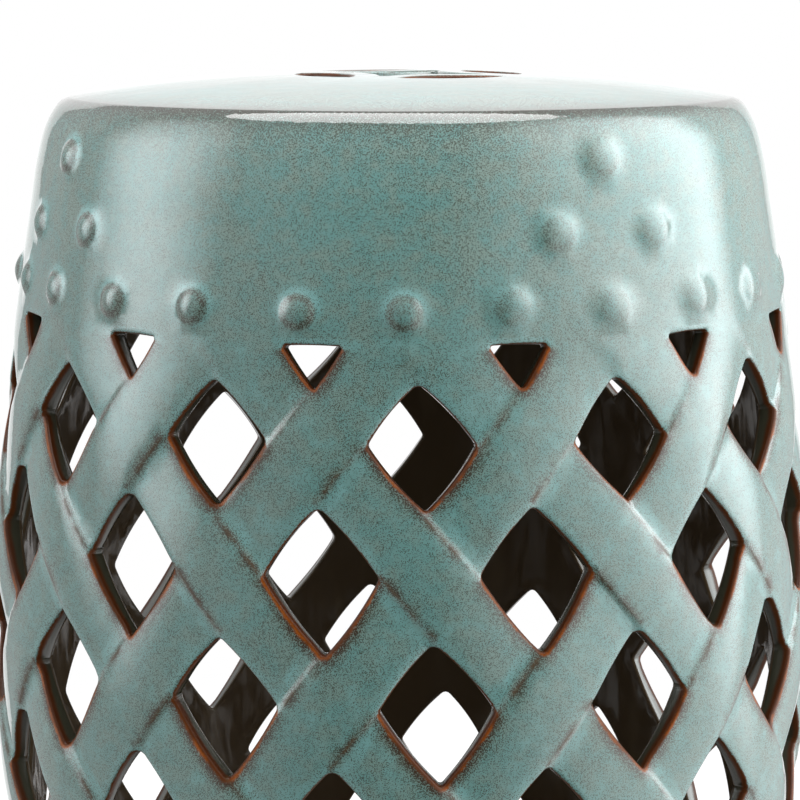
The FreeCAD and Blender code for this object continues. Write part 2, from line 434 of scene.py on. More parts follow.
def build_weave():
    """The woven wall from join to join; returns the numbers of its end rows."""
    loops = opening_loops()
    dense = [densified(*loop) for loop in loops]
    edge_points = repeated(np.concatenate([points for points, _ in dense]), column_width)
    edge_out = np.tile(np.concatenate([out for _, out in dense]), (3, 1))
    ends = {}
    faces = (("outer", lip_reach, 3.2, 26, 0.9, 1.6), ("inner", inner_lip_radius, 6.5, 13, 3.0, 3.5))
    for face, reach, spacing, end_count, ring_gap, end_gap in faces:
        is_outer = face == "outer"
        rings = [points + out * reach for points, out in loops]
        ring_points = repeated(np.concatenate(rings), column_width)
        row_y = join_row * row_pitch
        fillers = grid_points((-column_width / 2, -row_y), (column_width / 2, row_y), spacing)
        if is_outer:
            steps = thinned(step_points(), ring_points, ring_gap)
            fillers = np.concatenate([steps, thinned(fillers, repeated(steps, column_width), step_gap)])
        fillers = thinned(fillers, ring_points, ring_gap)
        fillers = fillers[outside_all(fillers, rings, column_width)]
        fillers = fillers[np.abs(fillers[:, 1]) < row_y - end_gap]
        end_x = np.linspace(-0.5, 0.5, end_count + 1)[:-1]
        top, bottom = in_plane(end_x, end_x * 0 + join_row), in_plane(end_x, end_x * 0 - join_row)
        flat = np.concatenate([top, bottom, fillers] + rings)
        triangles = strip_triangles(flat, rings, column_width, columns)
        gap, number = nearest(flat, edge_points)
        low = -edge_out[number, 1]
        depth = edge_drop(gap) if is_outer else wall_thickness
        numbers = np.concatenate([add_wall(flat, column, gap, low, depth) for column in range(columns)])
        skin.cover("glazed_weave" if is_outer else "inner_glaze", numbers[triangles], turned=not is_outer)
        per_column = numbers.reshape(columns, -1)
        ends[face] = (per_column[:, :end_count].ravel(), per_column[:, end_count:2 * end_count].ravel())
        first_ring = end_count * 2 + len(fillers)
        ends[face + "_rings"] = per_column[:, first_ring:]
    start = 0
    for points, out in loops:
        size = len(points)
        for column in range(columns):
            def ring_at(gap, depth):
                return add_wall(points + out * gap, column, gap, -out[:, 1], depth)

            chain = [ends["inner_rings"][column, start:start + size]]
            for gap in inner_lip_steps[1:]:
                chain.append(ring_at(gap, wall_thickness - lip_drop(gap, inner_lip_radius)))
            skin.bridge("inner_glaze", chain)
            chain = chain[-1:] + [ring_at(0.0, depth) for depth in cut_depths]
            chain += [ring_at(gap, edge_drop(gap)) for gap in lip_steps[:-1]]
            chain.append(ends["outer_rings"][column, start:start + size])
            skin.bridge("glazed_weave", chain)
        start += size
    return ends


weave_ends = build_weave()


class Socket:
    """An output of a finish's node tree. Arithmetic on it adds Math nodes."""

    def __init__(self, finish, output):
        self.finish = finish
        self.output = output

    def _math(self, operation, *values):
        inputs = {i: value for i, value in enumerate(values)}
        return self.finish.node("ShaderNodeMath", {"operation": operation}, inputs)

    def __add__(self, other):
        return self._math("ADD", self, other)

    def __sub__(self, other):
        return self._math("SUBTRACT", self, other)

    def __rsub__(self, other):
        return self._math("SUBTRACT", other, self)

    def __mul__(self, other):
        return self._math("MULTIPLY", self, other)

    __radd__ = __add__
    __rmul__ = __mul__

    def __truediv__(self, other):
        return self._math("DIVIDE", self, other)

    def at_least(self, other):
        return self._math("MAXIMUM", self, other)


class Finish:
    """A material made in code: its nodes come from one method, its values are sockets."""

    def __init__(self, name, owner=None):
        self.material = owner or bpy.data.materials.new(name)
        self.material.use_nodes = True
        self.tree = self.material.node_tree
        self.shader, self.end = sorted(self.tree.nodes, key=lambda node: "Output" in node.bl_idname)

    def node(self, kind, settings=None, inputs=None, output=0):
        """Adds a node with its settings, then its inputs' values or links, and gives one output."""
        node = self.tree.nodes.new(kind)
        for name, value in (settings or {}).items():
            setattr(node, name, value)
        for name, value in (inputs or {}).items():
            self.link(node.inputs[name], value)
        return Socket(self, node.outputs[output])

    def link(self, target, value):
        if isinstance(value, Socket):
            self.tree.links.new(value.output, target)
        elif target.type == "RGBA":
            target.default_value = (*value, 1)
        else:
            target.default_value = value

    def also(self, socket, output):
        """Another output of a socket's node."""
        return Socket(self, socket.output.node.outputs[output])

    def show(self, shader):
        """Makes a shader what is seen."""
        self.link(self.end.inputs["Surface"], shader)

    def show_mixed(self, share, second):
        """Shows the main shader with a share of a second one."""
        first = Socket(self, self.shader.outputs[0])
        self.show(self.node("ShaderNodeMixShader", {}, {0: share, 1: first, 2: second}))

    def glow(self, strength):
        """Makes it a lamp that gives off white light."""
        self.show(self.node("ShaderNodeEmission", {}, {"Strength": strength}))

    def mark(self, name):
        """A value that the mesh carries at each point."""
        return self.node("ShaderNodeAttribute", {"attribute_name": name}, output="Fac")

    def place(self):
        return self.node("ShaderNodeTexCoord", output="Object")

    def along(self, axis):
        """One coordinate of the place, in metres."""
        return self.node("ShaderNodeSeparateXYZ", {}, {0: self.place()}, axis)

    def bump(self, strength, distance, height):
        inputs = {"Strength": strength, "Distance": distance, "Height": height}
        return self.node("ShaderNodeBump", {}, inputs)

    def noise(self, size, detail=2.0, at=None):
        """Noise whose features are about that size in millimetres."""
        inputs = {"Vector": at or self.place(), "Scale": 1 / (size * millimetre), "Detail": detail}
        return self.node("ShaderNodeTexNoise", {}, inputs, "Fac")

    def ramp(self, value, low, high):
        """0 where value is at low, 1 where it is at high, smooth between; low may be above high."""
        return self.node("ShaderNodeMapRange", {"interpolation_type": "SMOOTHSTEP"},
                         {"Value": value, "From Min": low, "From Max": high})

    def blend(self, share, first, second):
        """Colour that goes from first to second."""
        return self.node("ShaderNodeMix", {"data_type": "RGBA"}, {0: share, 6: first, 7: second}, 2)

    def set(self, **inputs):
        for name, value in inputs.items():
            self.link(self.shader.inputs[name.replace("_", " ")], value)


def srgb(*screen):
    """Linear colour of a screen colour given as 0 to 255."""
    shares = [value / 255 for value in screen]
    return tuple(c / 12.92 if c <= 0.04045 else ((c + 0.055) / 1.055)**2.4 for c in shares)


cool_teal = srgb(108, 155, 151)
grey_teal = srgb(127, 152, 143)
# Pooled turquoise, which round the studs is partly a painted highlight
pooled_and_lit_teal = srgb(128, 180, 178)
thick_teal = srgb(126, 178, 175)
# Darker teal for the painted shade on the woven wall between the bands
painted_shade_teal = srgb(90, 122, 118)
# Tan of worn glaze, which on the studs is partly painted shade
worn_and_shaded_tan = srgb(108, 98, 78)
olive_speck = srgb(64, 70, 60)
brown_speck = srgb(54, 42, 34)
sooty_brown = srgb(60, 40, 26)
light_rust = srgb(146, 74, 12)
dark_rust = srgb(88, 44, 11)
cut_rust = srgb(70, 34, 10)
upper_rust = srgb(88, 47, 18)
ridge_brown = srgb(82, 64, 42)
cut_brown = srgb(58, 58, 46)
cloud_size = 38.0
patch_size = 9.0
tone_size = 6.0
grain_size = 0.5
speck_size = 0.44

# Reaches from an opening's edge, the far end first, in millimetres and then in widths of the rust
woven_reach = (28.0, 18.0)
pool_reach = (7.0, 1.5)
worn_reach = (8.0, 0.4)
soot_reach = (3.2, 1.0)
bare_reach = (1.25, 0.45)

# Heights in metres over which the painted shade on the woven wall fades in
painted_shade_top = (0.425, 0.345)
painted_shade_bottom = (0.021, 0.101)


def make_glaze():
    """Glossy teal glaze, speckled brown: it pools turquoise, and breaks to rust on the edges. It carries
    painted shade on the woven wall between the bands, and painted light round the studs.
    """
    f = Finish("speckled teal glaze")
    edge, low, depth, rim, crest = (f.mark(name) for name in ("edge", "low", "depth", "rim", "crest"))
    cloud, patch, grain = f.noise(cloud_size, 3.0), f.noise(patch_size, 3.0), f.noise(grain_size, 1.0)
    below = f.ramp(low, -0.15, 0.55)
    woven = f.ramp(edge, *woven_reach)

    # How far the glaze has run together, and how far it is worn thin. Round the studs these also hold
    # painted light: a painted highlight on each stud's rim side, and painted shade on its other side and
    # on the front-left and back-right studs
    # The turquoise halo round the studs brings in a painted highlight
    pool_and_highlight = (f.mark("valley") * (patch * 1.6 + 0.1)).at_least(f.mark("stud"))
    pool_and_highlight = pool_and_highlight.at_least(f.ramp(edge, *pool_reach) * (1 - below) * 0.6)
    wear_and_shade = (crest * (patch * 2.4 - 0.3)).at_least(rim * 0.85)
    # The studs' brown faces bring in painted shade
    wear_and_shade = wear_and_shade.at_least(f.mark("stud_face") * (patch * 0.8 + 0.6))
    wear_and_shade = wear_and_shade.at_least(f.ramp(edge, *worn_reach) * (below * 0.75 + 0.25) * (cloud + 0.5))

    # Brown specks, which crowd together where it is worn
    dots_inputs = {"Vector": f.place(), "Scale": 1 / (speck_size * millimetre)}
    dots = f.node("ShaderNodeTexVoronoi", {}, dots_inputs, "Distance")
    uneven = (cloud - 0.5) * 0.5 + (patch - 0.5) * (woven * 0.6 + 0.3)
    density = uneven + wear_and_shade * 0.75 + rim * 0.5 - pool_and_highlight * 0.3
    reach = density * 0.34 + 0.4 + (f.also(dots, "Color") - 0.5) * 0.4
    speck = f.ramp(dots - reach, 0.05, -0.11)

    # Teal under the specks, with painted shade darkening the woven wall between the bands
    tone = f.noise(tone_size) * 0.6 + cloud * 0.4
    teal = f.blend(f.ramp(tone, 0.36, 0.64), cool_teal, grey_teal)
    teal = f.blend(f.ramp(pool_and_highlight, 0.15, 0.9), teal, pooled_and_lit_teal)
    teal = f.blend(woven * f.ramp(patch, 0.46, 0.3) * 0.55, teal, thick_teal)
    # Painted shade: the woven wall between the bands is darkened
    height = f.along("Z")
    painted_shade_between_bands = f.ramp(height, *painted_shade_top) * f.ramp(height, *painted_shade_bottom)
    teal = f.blend(painted_shade_between_bands * 0.45, teal, painted_shade_teal)
    teal = f.blend(f.ramp(wear_and_shade, 0.1, 1.0) * 0.4, teal, worn_and_shaded_tan)
    brown = f.blend(f.ramp(wear_and_shade, 0.35, 1.0), olive_speck, brown_speck)
    colour = f.blend(speck * 0.92, teal, brown)

    # Rust along the openings, widest on their lower sides, and brown on the straps' ridges
    near = edge + (grain - 0.5) * 1.1 + (patch - 0.5) * 1.2
    width = 0.55 + below * (0.8 + f.ramp(cloud, 0.4, 0.65) * 0.8)
    soot = f.ramp(near / width, *soot_reach) * (0.12 + below * 0.38) * (speck * 1.2 + 0.3)
    colour = f.blend(soot, colour, sooty_brown)
    rust = f.blend(f.ramp(patch, 0.36, 0.6), light_rust, dark_rust)
    rust = f.blend(f.ramp(near / width, 0.0, 0.7), cut_rust, rust)
    rust = f.blend(below, upper_rust, rust)
    bare = f.ramp(near / width, *bare_reach)
    ridge = f.ramp(crest + (grain - 0.5) * 0.3, 0.72, 1.0) * f.ramp(patch, 0.44, 0.58)
    colour = f.blend(ridge * 0.65, f.blend(bare, colour, rust), ridge_brown)
    cut = f.ramp(depth + (patch - 0.5) * 1.5, 1.9, 3.7)
    colour = f.blend(cut, colour, cut_brown)

    # The rust has a shader of its own, because it reflects less than the glaze
    bump = f.bump(0.2, 0.0003, grain * 0.07 + patch * 1.6)
    rough = 0.03 + speck * 0.03 + bare * 0.12
    f.set(Base_Color=colour, Roughness=rough, Normal=bump, IOR=1.58)
    dry_inputs = {"Base Color": colour, "Roughness": 0.35, "IOR": 1.17, "Normal": bump}
    dry_share = bare.at_least(ridge * 0.6) * (1 - cut) * 0.92
    f.show_mixed(dry_share, f.node("ShaderNodeBsdfPrincipled", {}, dry_inputs))
    return f.material


glaze = make_glaze()

# Studded bands
# The upper band rolls in over a soft shoulder to the rim that the seat is luted into. Twenty-four
# dome studs are pressed on in a ring over the weave, with clusters of three above. The lower band
# is the same, upside down.
barrel_top = 412.0
shoulder_points = ((144.0, 418.5), (142.8, 423.0), (141.2, 427.3), (138.4, 432.4), (135.9, 435.3))
rim_radius = 133.0
rim_height = 437.0
ledge_width = 6.0
rim_rows = (0.0, 0.8, 1.7, 2.8, 4.1, 5.6, 7.3)
rim_count = 338
band_reference = 150.0
band_spacing = 3.4
join_margin = 2.2
rim_margin = 8.0
stud_margin = 1.6
band_shuffle = 0.02

# Studs by their angle in degrees and their height; those behind are evenly spaced
ring_studs = ((-72.0, 368.5), (-58.9, 367.9), (-43.8, 366.8), (-29.3, 367.2), (-13.9, 367.0),
              (0.5, 366.9), (15.1, 368.3), (30.3, 366.7), (45.8, 368.1), (61.0, 368.4), (76.2, 367.8))
back_stud_count = 13
back_stud_height = 368.0
cluster_studs = ((-8.1, 392.9), (8.1, 392.9), (0.0, 418.9))
cluster_first = 30.3
cluster_lifts = (0.8, 0.0, 0.0, -1.7)
stud_radius = 6.9
stud_proud = 3.0
stud_blend = 2.9
stud_reach = 9.5
stud_rings = (1.8, 3.4, 4.8, 6.1, 7.4)
stud_face = 5.4
stud_face_width = 1.2
halo_radius = 7.8
halo_width = 1.9
thick_glaze_angle = math.radians(49.0)


def natural_curve(knots, values):
    """Smooth curve through values at knots, as a function and its slope."""
    gaps = np.diff(knots)
    count = len(knots)
    system = np.eye(count)
    right = np.zeros(count)
    rise = np.diff(values) / gaps
    for i in range(1, count - 1):
        system[i, i - 1:i + 2] = gaps[i - 1], 2 * (gaps[i - 1] + gaps[i]), gaps[i]
        right[i] = 6 * (rise[i] - rise[i - 1])
    bend = np.linalg.solve(system, right)

    def at(x):
        i = np.clip(np.searchsorted(knots, x) - 1, 0, count - 2)
        gap, left, rest = gaps[i], x - knots[i], knots[i + 1] - x
        value = ((bend[i] * rest**3 + bend[i + 1] * left**3) / (6 * gap)
                 + (values[i] / gap - bend[i] * gap / 6) * rest
                 + (values[i + 1] / gap - bend[i + 1] * gap / 6) * left)
        slope = ((bend[i + 1] * left**2 - bend[i] * rest**2) / (2 * gap)
                 + rise[i] - (bend[i + 1] - bend[i]) * gap / 6)
        return value, slope

    return at


row_table = np.linspace(2.4, 5.0, 400)
height_table = row_height(row_table)
join_height = float(np.interp(join_row, row_table, height_table))
outline = [(wall_radius(z), z) for z in np.linspace(join_height, barrel_top, 5)]
outline = np.array(outline + list(shoulder_points) + [(rim_radius, rim_height)])
outline_length = np.concatenate([[0], np.cumsum(np.hypot(*np.diff(outline, axis=0).T))])
radius_along = natural_curve(outline_length, outline[:, 0])
height_along = natural_curve(outline_length, outline[:, 1])
band_length = outline_length[-1]


def along_for(z):
    """Distance up the band's outline at a height."""
    lengths = np.linspace(0, band_length, 600)
    return np.interp(z, height_along(lengths)[0], lengths)


def all_studs():
    """Angle in radians and height of every stud of the upper band."""
    angles = [angle for angle, _ in ring_studs]
    gap = (360 + angles[0] - angles[-1]) / (back_stud_count + 1)
    studs = list(ring_studs)
    studs += [(angles[-1] + gap * (i + 1), back_stud_height) for i in range(back_stud_count)]
    for number, lift in enumerate(cluster_lifts):
        centre = cluster_first + 360 / len(cluster_lifts) * number
        studs += [(centre + spread, z + lift) for spread, z in cluster_studs]
    return [(math.radians(angle), z) for angle, z in studs]


def wrapped(angle):
    """The same angle, within half a turn of the front."""
    return (angle + math.pi) % math.tau - math.pi


def band_places(angle, along, studs):
    """Points of the upper band with their marks."""
    radius, radius_slope = radius_along(along)
    z, z_slope = height_along(along)
    length = np.hypot(radius_slope, z_slope)
    out_r, out_z = z_slope / length, -radius_slope / length
    row = np.interp(z, height_table, row_table)
    column = (angle - first_column) * columns / math.tau - row_skew * row
    height, valley, crest = weave(column, row)
    height = height * (z < barrel_top) + unevenness(angle, z) * soft_step((band_length - along) / 12)
    ball_radius = (stud_radius**2 + stud_proud**2) / (2 * stud_proud)
    nearest_stud = np.full(len(angle), far_from_edge)
    below, drowned = np.zeros(len(angle)), np.zeros(len(angle))
    for stud_angle, stud_z in studs:
        across = wrapped(angle - stud_angle) * radius
        up = along - along_for(stud_z)
        distance = np.hypot(across, up)
        closer = distance < nearest_stud
        nearest_stud = np.where(closer, distance, nearest_stud)
        below = np.where(closer, -up / np.maximum(distance, 0.5), below)
        drown = soft_step(2 * math.cos(stud_angle - thick_glaze_angle) - 1)
        drowned = np.where(closer, drown, drowned)
        cap = np.sqrt(np.maximum(ball_radius**2 - distance**2, 0.01)) - ball_radius + stud_proud
        cap = np.where(distance < stud_reach, cap * (1 - 0.4 * drown), -stud_reach)
        blend = stud_blend * (1 + 0.4 * drown)
        gap = np.clip(0.5 + 0.5 * cap / blend, 0, 1)
        height = height + cap * gap + blend * gap * (1 - gap)
    # Turquoise halo round each stud, with a painted highlight that makes it stronger on the stud's rim
    # side (its upper side on the upper band)
    halo_and_highlight = np.exp(-((nearest_stud - halo_radius) / halo_width)**2)
    halo_and_highlight = halo_and_highlight * np.clip(0.7 - 0.5 * below, 0, 1) * (1 - 0.6 * drowned)
    face = np.exp(-((nearest_stud - stud_face) / stud_face_width)**2)
    # Brown on each stud's face, with painted shade that makes it heavier away from the rim and on the
    # front-left and back-right studs
    face = face * np.clip(1.0 + 0.2 * below - 0.3 * np.sin(2 * angle), 0, 1)
    face = np.maximum(face, 0.25 * soft_step((stud_face - nearest_stud) / 1.5)) * (1 - 0.5 * drowned)
    rim = np.minimum(1, 1.25 * np.exp((along - band_length) / 8.0))
    places = around(radius + height * out_r, angle, z + height * out_z)
    return places, {"valley": valley, "crest": crest, "stud": halo_and_highlight, "stud_face": face, "rim": rim}


def build_band(upper):
    """One band with its studs, from the weave's end row to the rim; returns the rim's numbers."""
    studs = all_studs()
    period = math.tau * band_reference
    end_numbers = weave_ends["outer"][0 if upper else 1]
    end_places = np.concatenate(skin.places)[end_numbers]
    end_angle = wrapped(np.arctan2(end_places[:, 0], -end_places[:, 1]))
    stud_flat = np.array([(wrapped(a) * band_reference, along_for(z)) for a, z in studs])
    rings = [stud_flat]
    for i, distance in enumerate(stud_rings):
        count = 8 if distance < 2 else 16 if distance < 4 else 24
        way = np.arange(count) / count * math.tau + (i % 2) * math.pi / count
        for x, y in stud_flat:
            wide = distance * band_reference / radius_along(y)[0]
            rings.append(np.column_stack([x + wide * np.cos(way), y + distance * np.sin(way)]))
    rings = np.concatenate(rings)
    rings[:, 0] = wrapped(rings[:, 0] / band_reference) * band_reference
    rim_x = (np.arange(rim_count) / rim_count - 0.5) * period
    rows = []
    for i, reach in enumerate(rim_rows):
        x = rim_x + (i % 2) * period / rim_count / 2
        rows.append(np.column_stack([x, 0 * x + band_length - reach]))
    rows = np.concatenate(rows)
    fill = grid_points((-period / 2, 0), (period / 2, band_length - rim_margin), band_spacing)
    fill = fill[fill[:, 1] > join_margin]
    fill = thinned(fill, repeated(stud_flat, period), stud_rings[-1] + stud_margin)
    join = np.column_stack([end_angle * band_reference, end_angle * 0])
    flat = np.concatenate([join, rows, rings, fill])
    flat[:, 0] += shuffle.uniform(-band_shuffle, band_shuffle, len(flat))
    triangles = strip_triangles(flat, [], period)
    places, marks = band_places(flat[:, 0] / band_reference, flat[:, 1], studs)
    if not upper:
        places[:, 2] = stool_height - places[:, 2]
    own = len(end_numbers)
    own_marks = {name: values[own:] for name, values in marks.items()}
    numbers = np.concatenate([end_numbers, skin.add(places[own:], **own_marks)])
    piece = "glazed_upper_band" if upper else "glazed_lower_band"
    skin.cover(piece, numbers[triangles], turned=not upper)
    return numbers[own:own + rim_count]


upper_rim = build_band(True)
lower_rim = build_band(False)
rim_angles = (np.arange(rim_count) / rim_count - 0.5) * math.tau
lower_edge = skin.add(around(rim_radius - 1.4, rim_angles, stool_height - rim_height + 0.3))
skin.bridge("glazed_lower_band", [lower_rim, lower_edge])

# Seat
# A domed clay disc closes the top. Its middle is pierced like an old coin, four petals round a square.
# The piercing is the finger hold that the stool is lifted by.
dome_power = 2.7
seat_thickness = 8.0
coin_turn = math.radians(25.4)
coin_offset = 3.5
petal_distance = 37.0
petal_half_length = 22.0
petal_half_width = 9.0
coin_bridge = 11.0
coin_corner = 22.0
coin_side_half = 19.0
coin_corner_round = 1.8
seat_lip = 1.6
seat_lip_steps = (0.0, 0.3, 0.8, 1.5, 2.6)
under_lip = 1.4
under_lip_reach = 1.5
seat_rim_gaps = (0.9, 1.9, 3.1, 4.6, 6.4, 8.6, 11.2)


def dome_height(radius):
    """Height of the seat's upper face."""
    return stool_height - (stool_height - rim_height) * (radius / rim_radius)**dome_power


def coin_loops():
    """Outlines of the five openings of the coin."""
    arc_radius = (petal_half_length**2 + petal_half_width**2) / (2 * petal_half_width)
    arc_centre = petal_distance + arc_radius - petal_half_width
    sweep = math.asin(petal_half_length / arc_radius)
    turn = np.linspace(-sweep, sweep, 15)
    right = np.column_stack([petal_distance + petal_half_width - arc_radius + arc_radius * np.cos(turn),
                             arc_radius * np.sin(turn)])
    left = np.column_stack([arc_centre - arc_radius * np.cos(turn), -arc_radius * np.sin(turn)])
    lens = np.concatenate([right[:-1], left[:-1]])
    hollow = arc_radius + coin_bridge
    y = np.linspace(-coin_side_half, coin_side_half, 13)
    side = np.column_stack([arc_centre - np.sqrt(hollow**2 - y**2), y])
    corner_turn = np.linspace(0, math.pi / 2, 5)
    centre = coin_corner - coin_corner_round
    corner = centre + coin_corner_round * np.column_stack([np.cos(corner_turn), np.sin(corner_turn)])
    side = np.concatenate([side, corner])

    def turned_by(points, angle):
        c, s = math.cos(angle), math.sin(angle)
        return points @ np.array([[c, s], [-s, c]])

    square = np.concatenate([turned_by(side, math.pi / 2 * i) for i in range(4)])
    loops = [turned_by(lens, math.pi / 2 * i) for i in range(4)] + [square]
    return [with_directions(turned_by(loop, coin_turn) + [coin_offset, 0]) for loop in loops]


def disc_triangles(points, loops):
    """Triangles between points of a disc, without those inside the loops."""
    triangles = delaunay(points)
    return triangles[outside_all(points[triangles].mean(1), loops)]


def build_seat():
    """The seat's glazed upper face with its coin, and the lining under it."""
    loops = coin_loops()
    edge_points = np.concatenate([points for points, _ in loops])
    ends = {}
    faces = (("upper", seat_lip_steps[-1], 4.2, 12), ("under", under_lip_reach, 8.0, ledge_width))
    for face, reach, spacing, margin in faces:
        is_upper = face == "upper"
        rings = [points + out * reach for points, out in loops]
        fillers = grid_points((-rim_radius, -rim_radius), (rim_radius, rim_radius), spacing)
        fillers = fillers[np.hypot(*fillers.T) < rim_radius - margin - spacing * 0.4]
        fillers = thinned(fillers, np.concatenate(rings), spacing * 0.45)
        fillers = fillers[outside_all(fillers, rings)]
        if is_upper:
            rows = []
            for i, gap in enumerate(seat_rim_gaps):
                count = rim_count if i < 4 else rim_count // 2
                angle = (np.arange(count) + 0.5 * (i % 2)) / count * math.tau
                rows.append(np.column_stack([np.sin(angle), -np.cos(angle)]) * (rim_radius - gap))
            fillers = np.concatenate(rows + [fillers])
        edge_numbers = upper_rim if is_upper else seat_lining_edge
        border = np.concatenate(skin.places)[edge_numbers][:, :2]
        flat = np.concatenate([border, fillers] + rings)
        triangles = disc_triangles(flat, rings)
        own = flat[len(border):]
        gap = nearest(own, edge_points)[0]
        radius = np.hypot(*own.T)
        z = dome_height(radius) - (0 if is_upper else seat_thickness)
        if is_upper:
            angle = np.arctan2(own[:, 0], -own[:, 1])
            z = z + unevenness(angle, z) * soft_step((rim_radius - radius) / 15) * 0.5
        rim = np.exp((radius - rim_radius) / 10.0) if is_upper else 0 * gap
        depth = 0 if is_upper else wall_thickness
        numbers = skin.add(np.column_stack([own, z]), edge=gap, rim=rim, depth=depth)
        numbers = np.concatenate([edge_numbers, numbers])
        skin.cover("glazed_seat" if is_upper else "inner_glaze", numbers[triangles], turned=not is_upper)
        ends[face] = numbers[len(border) + len(fillers):]
    start = 0
    for number, (points, out) in enumerate(loops):
        size = len(points)
        is_petal = number < 4

        def ring_at(gap, drop):
            """A ring round the opening. Rust shows on a petal's lip, and the square's keeps its teal."""
            flat = points + out * gap
            z = dome_height(np.hypot(*flat.T)) - drop
            return skin.add(np.column_stack([flat, z]), edge=gap if is_petal else 2.0, low=0.2,
                            depth=drop * (1.8 if is_petal else 0.3))

        lip_top = seat_thickness - lip_drop(0.4, under_lip)
        chain = [ends["under"][start:start + size], ring_at(0.4, lip_top)]
        chain.append(ring_at(0.0, seat_thickness - under_lip))
        skin.bridge("inner_glaze", chain)
        chain = chain[-1:] + [ring_at(0.0, seat_thickness / 2)]
        chain += [ring_at(gap, lip_drop(gap, seat_lip)) for gap in seat_lip_steps[:-1]]
        chain.append(ends["upper"][start:start + size])
        skin.bridge("glazed_seat", chain)
        start += size


# Inside of the barrel
# The hollow inside carries the same glaze, poured in thin over brown clay, so it is almost black.
# It runs from the weave up over the seat's ledge to the seat's underside, and down to the foot.
lining_heights = (372.0, 386.0, 400.0, 410.0)
inner_ledge = rim_radius - ledge_width
ledge_profile = ((136.0, 414.0), (inner_ledge + 0.6, 423.4), (inner_ledge, 425.0), (inner_ledge, 429.0),
                 (inner_ledge, dome_height(inner_ledge) - seat_thickness))


def line_inside(upper):
    """Rings of the lining between the weave's inner end row and the ledge."""
    chain = [weave_ends["inner"][0 if upper else 1]]
    start = np.concatenate(skin.places)[chain[0]]
    angle = np.arctan2(start[:, 0], -start[:, 1])
    profile = [(wall_radius(z) - wall_thickness, z) for z in lining_heights]
    profile += ledge_profile
    for radius, z in profile[:None if upper else -1]:
        z = z if upper else stool_height - z
        chain.append(skin.add(around(radius, angle, z), depth=wall_thickness))
    skin.bridge("inner_glaze", chain, turned=upper)
    return chain[-1]


def make_lining():
    """Brown-black glaze with slow runs down the wall."""
    f = Finish("dark lining glaze")
    stretched = f.node("ShaderNodeVectorMath", {"operation": "MULTIPLY"}, {0: f.place(), 1: (1, 1, 0.3)})
    runs = f.noise(16.0, at=stretched)
    colour = f.blend(f.ramp(runs, 0.5, 0.75), srgb(80, 67, 50), srgb(92, 79, 61))
    rough = f.noise(5.0) * 0.2 + 0.02
    f.set(Base_Color=colour, Roughness=rough, Normal=f.bump(0.35, 0.002, runs), IOR=1.24)
    return f.material


lining = make_lining()
seat_lining_edge = line_inside(True)
line_inside(False)
build_seat()
made = skin.make()
strap_names = [f"{kind}_strap_{number:02d}" for kind in ("right_leaning", "left_leaning")
               for number in range(1, columns + 1)]
stood_for = {
    "glazed_weave": strap_names,
    "glazed_upper_band": ["upper_band", "upper_stud_ring", "upper_stud_clusters"],
    "glazed_lower_band": ["lower_band", "lower_stud_ring", "lower_stud_clusters"],
    "glazed_seat": ["seat_disc"],
    "inner_glaze": [],
}
for name, obj in made.items():
    obj.data.materials.append(lining if name == "inner_glaze" else glaze)
    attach(obj, "root")
    if stood_for[name]:
        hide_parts(*stood_for[name])

# Foot
# The turned foot ring is wiped clean of glaze so that it can't stick in the kiln, and shows bare clay.
# Four thin rubber pads under it keep it off the floor.
foot_profile = ((116.3, 17.0), (132.4, 17.0), (132.9, 9.2), (132.4, 6.0), (131.2, 2.9), (130.4, 2.15),
                (129.6, 2.0), (119.4, 2.0), (118.6, 2.2), (118.0, 3.0))


def turned_ring(name, profile, count):
    """Ring turned from a closed outline of radii and heights in millimetres."""
    angle = np.arange(count) / count * math.tau
    rings = [np.column_stack([r * np.cos(angle), r * np.sin(angle), angle * 0 + z]) for r, z in profile]
    places = np.concatenate(rings) * millimetre
    number = np.arange(len(places)).reshape(len(profile), count)
    beside = np.roll(number, -1, 1)
    corners = [beside, np.roll(beside, -1, 0), np.roll(number, -1, 0), number]
    faces = np.stack(corners, 2).reshape(-1, 4).tolist()
    mesh = bpy.data.meshes.new(name)
    mesh.from_pydata(places.tolist(), [], faces)
    mesh.shade_smooth()
    return placed(name, mesh)


def make_clay():
    """Bare fired stoneware: warm brown, matt and faintly sandy."""
    f = Finish("bare stoneware")
    cloud, sand = f.noise(12.0), f.noise(0.6, 3.0)
    colour = f.blend(cloud, srgb(168, 118, 88), srgb(190, 145, 112))
    colour = f.blend(f.ramp(sand, 0.6, 0.75) * 0.5, colour, srgb(110, 78, 60))
    f.set(Base_Color=colour, Roughness=0.85, Normal=f.bump(0.3, 0.0003, sand))
    return f.material


def make_rubber():
    f = Finish("black rubber")
    f.set(Base_Color=srgb(38, 38, 38), Roughness=f.noise(2.0) * 0.1 + 0.6)
    return f.material


foot = turned_ring("bare_foot_ring", foot_profile, 192)
foot.data.materials.append(make_clay())
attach(foot, "root")
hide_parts("foot_ring")
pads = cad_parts["floor_pads"]
pads.data.materials.clear()
pads.data.materials.append(make_rubber())

